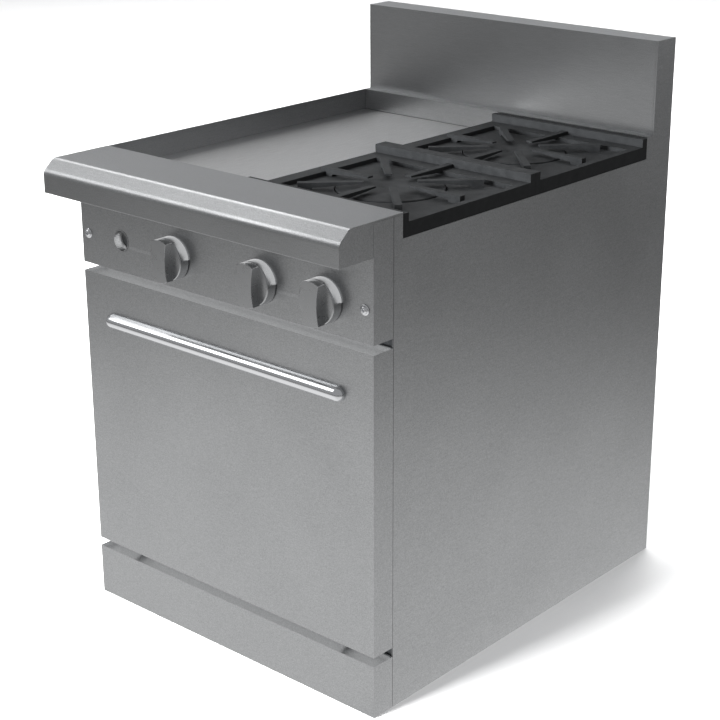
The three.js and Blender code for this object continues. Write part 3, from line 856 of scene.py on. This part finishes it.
# ------------------------------------------------------------------ oven lining
# Pressed steel coated with fired vitreous enamel: near black with fine white specks, glossy, with a
# faint orange-peel surface.
def vitreous_enamel():
    """Dark speckled enamel."""
    speck = 4 * MM
    made, tree, shader = new_material("vitreous_enamel", 0.22)
    place = add(tree, "TexCoord").outputs["Object"]
    dots = add(tree, "TexVoronoi", {"Vector": place, "Scale": 1 / speck})
    ripple = add(tree, "TexNoise", {"Vector": place, "Scale": 1 / (6 * MM), "Detail": 2.0})
    inside = add(tree, "Math", {0: dots.outputs["Distance"], 1: 0.16}, operation="LESS_THAN")
    tone = add(
        tree,
        "Mix",
        {0: inside.outputs[0], 6: linear("#22252b"), 7: linear("#9ba1a8")},
        data_type="RGBA",
    )
    tree.links.new(tone.outputs[2], shader.inputs["Base Color"])
    relief = add(
        tree, "Bump", {"Height": ripple.outputs["Fac"], "Strength": 0.15, "Distance": 0.2 * MM}
    )
    tree.links.new(relief.outputs["Normal"], shader.inputs["Normal"])
    return made


enamel = vitreous_enamel()
for name in ("oven_wall_left", "oven_wall_right", "oven_floor", "oven_roof", "oven_back"):
    finish_with(name, enamel)
    soften(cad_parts[name], 0.5 * MM)

liner_low, liner_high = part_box("door_liner")
PRESS_DEPTH = 1.7 * MM
LINER_DEPTH = 2.3 * MM
FLANGE = 62 * MM
SLOPE = 5 * MM
liner_mesh = bmesh.new()
rings = []
for inset, back in ((0, 0), (0, 1), (FLANGE, 1), (FLANGE + SLOPE, 1 - PRESS_DEPTH / LINER_DEPTH)):
    y = liner_low.y + (liner_high.y - liner_low.y) * back
    corners = (
        (liner_low.x + inset, liner_low.z + inset),
        (liner_high.x - inset, liner_low.z + inset),
        (liner_high.x - inset, liner_high.z - inset),
        (liner_low.x + inset, liner_high.z - inset),
    )
    rings.append([liner_mesh.verts.new((x, y, z)) for x, z in corners])
liner_mesh.faces.new(rings[0])
liner_mesh.faces.new(rings[-1])
for outer, inner in zip(rings, rings[1:]):
    for i in range(4):
        liner_mesh.faces.new((outer[i], outer[(i + 1) % 4], inner[(i + 1) % 4], inner[i]))
liner = make_piece("pressed_door_liner", liner_mesh, "door", enamel, ["door_liner"])
soften(liner, 0.9 * MM, 3, 10)

for name in ("rack_guide_left", "rack_guide_right"):
    finish_with(name, chrome)
    soften(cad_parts[name], 0.4 * MM)


# ------------------------------------------------------------------ oven rack
# Spot-welded round wire, nickel-chrome plated: a heavy rim, a cross bar underneath, and thin rods.
def wire(name, runs, radius, body, material):
    """Round wires through lists of points, as one curve piece."""
    curve = bpy.data.curves.new(name, "CURVE")
    curve.dimensions = "3D"
    curve.bevel_depth = radius
    curve.bevel_resolution = 3
    curve.use_fill_caps = True
    for points, closed in runs:
        line = curve.splines.new("POLY")
        line.points.add(len(points) - 1)
        for spot, point in zip(line.points, points):
            spot.co = (*point, 1)
        line.use_cyclic_u = closed
    curve.materials.append(material)
    made = bpy.data.objects.new(name, curve)
    bpy.context.collection.objects.link(made)
    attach(made, body)
    return made


rack_low, rack_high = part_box("oven_rack")
RIM = 3.2 * MM
ROD = 1.9 * MM
rack_level = rack_low.z + 3.5 * MM
rim_line = rounded_rectangle(
    rack_low.x + RIM, rack_high.x - RIM, rack_low.y + RIM, rack_high.y - RIM, 14 * MM, 6
)
middle_y = (rack_low.y + rack_high.y) / 2
rim = wire(
    "rack_rim", [([(x, y, rack_level) for x, y in rim_line], True)], RIM, "rack", chrome
)
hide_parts("oven_rack")
bar = [
    (rack_low.x + RIM, middle_y, rack_level - 0.6 * MM),
    (rack_high.x - RIM, middle_y, rack_level - 0.6 * MM),
]
wire("rack_cross_bar", [(bar, False)], 2.6 * MM, "rack", chrome)
rods = []
RODS = 17
for i in range(1, RODS):
    x = rack_low.x + (rack_high.x - rack_low.x) * i / RODS
    height = rack_level + 1.6 * MM
    rods.append(([(x, rack_low.y + RIM, height), (x, rack_high.y - RIM, height)], False))
wire("rack_rods", rods, ROD, "rack", chrome)


# ------------------------------------------------------------------ insulation and door seal
# Yellow bonded mineral wool bats fill the walls and the door. A braided glass-fibre rope seals the
# oven mouth.
def mineral_wool():
    """Matted straw-coloured fibres."""
    made, tree, shader = new_material("mineral_wool", 0.95)
    place = add(tree, "TexCoord").outputs["Object"]
    drawn = add(tree, "Mapping", {"Vector": place, "Scale": (1.0, 0.2, 1.0)}).outputs["Vector"]
    fibre = add(tree, "TexNoise", {"Vector": drawn, "Scale": 1 / (2 * MM), "Detail": 6.0})
    tone = add(
        tree,
        "Mix",
        {0: fibre.outputs["Fac"], 6: linear("#a99a5f"), 7: linear("#e0d596")},
        data_type="RGBA",
    )
    tree.links.new(tone.outputs[2], shader.inputs["Base Color"])
    relief = add(
        tree, "Bump", {"Height": fibre.outputs["Fac"], "Strength": 0.8, "Distance": 1.5 * MM}
    )
    tree.links.new(relief.outputs["Normal"], shader.inputs["Normal"])
    return made


wool = mineral_wool()
for name in ("insulation_left", "insulation_right", "insulation_top", "door_insulation"):
    finish_with(name, wool)
    soften(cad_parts[name], 2.5 * MM)


def braided_rope():
    """Glass-fibre braid: diagonal strands."""
    strand = 2.2 * MM
    made, tree, shader = new_material("glass_fibre_braid", 0.85)
    place = add(tree, "TexCoord").outputs["Object"]
    turn = add(tree, "Mapping", {"Vector": place, "Rotation": (0.0, math.pi / 4, 0.0)})
    check = add(
        tree,
        "TexChecker",
        {
            "Vector": turn.outputs["Vector"],
            "Scale": 1 / strand,
            "Color1": linear("#4a4742"),
            "Color2": linear("#79736a"),
        },
    )
    tree.links.new(check.outputs["Color"], shader.inputs["Base Color"])
    relief = add(
        tree, "Bump", {"Height": check.outputs["Fac"], "Strength": 0.5, "Distance": 0.4 * MM}
    )
    tree.links.new(relief.outputs["Normal"], shader.inputs["Normal"])
    return made


finish_with("oven_gasket", braided_rope())
soften(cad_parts["oven_gasket"], 0.8 * MM, 3)
